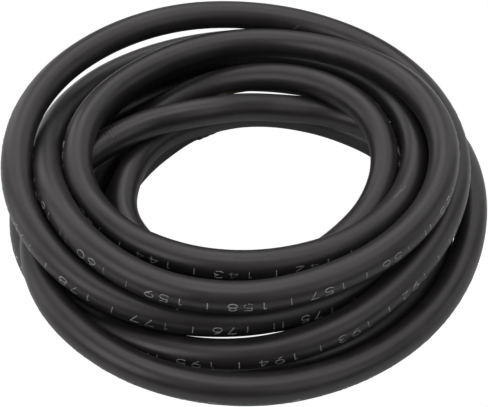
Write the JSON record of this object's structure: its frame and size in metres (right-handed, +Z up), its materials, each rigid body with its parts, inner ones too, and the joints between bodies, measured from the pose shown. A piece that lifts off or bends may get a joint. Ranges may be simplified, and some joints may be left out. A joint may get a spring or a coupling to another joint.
{
  "type": "coiled air hose",
  "caption": "Coiled black rubber air hose lying flat, with a crimped male pipe fitting at each end, one of them a live swivel.",
  "frame": {"origin": "centre of the coil's footprint, on the surface that the coil lies on", "axes": "+Z up out of the coil; -Y is the side nearest the viewer of the picture, +X to the viewer's right"},
  "size_m": [0.2717, 0.2813, 0.0655],
  "materials": {
    "cover_rubber": "satin",
    "liner_rubber": "matte",
    "braid_yarn": "matte",
    "ferrule_steel": "satin",
    "brass": "satin",
    "seal_rubber": "satin",
    "spring_steel": "satin"
  },
  "bodies": {
    "hose": {"hose_coil": "cover_rubber", "a_cover": "cover_rubber", "a_braid": "braid_yarn", "a_liner": "liner_rubber", "a_ferrule": "ferrule_steel", "a_stem": "brass", "b_cover": "cover_rubber", "b_braid": "braid_yarn", "b_liner": "liner_rubber", "b_ferrule": "ferrule_steel", "b_stem": "brass", "b_seal": "seal_rubber", "b_ring": "spring_steel"},
    "swivel": {"b_swivel": "brass"}
  },
  "joints": [
    {"name": "swivel_spin", "type": "hinge", "parent": "hose", "child": "swivel", "pos_m": [0.03404, -0.04523, 0.0093], "axis": [0.9135, 0.4067, 0], "continuous": true}
  ]
}
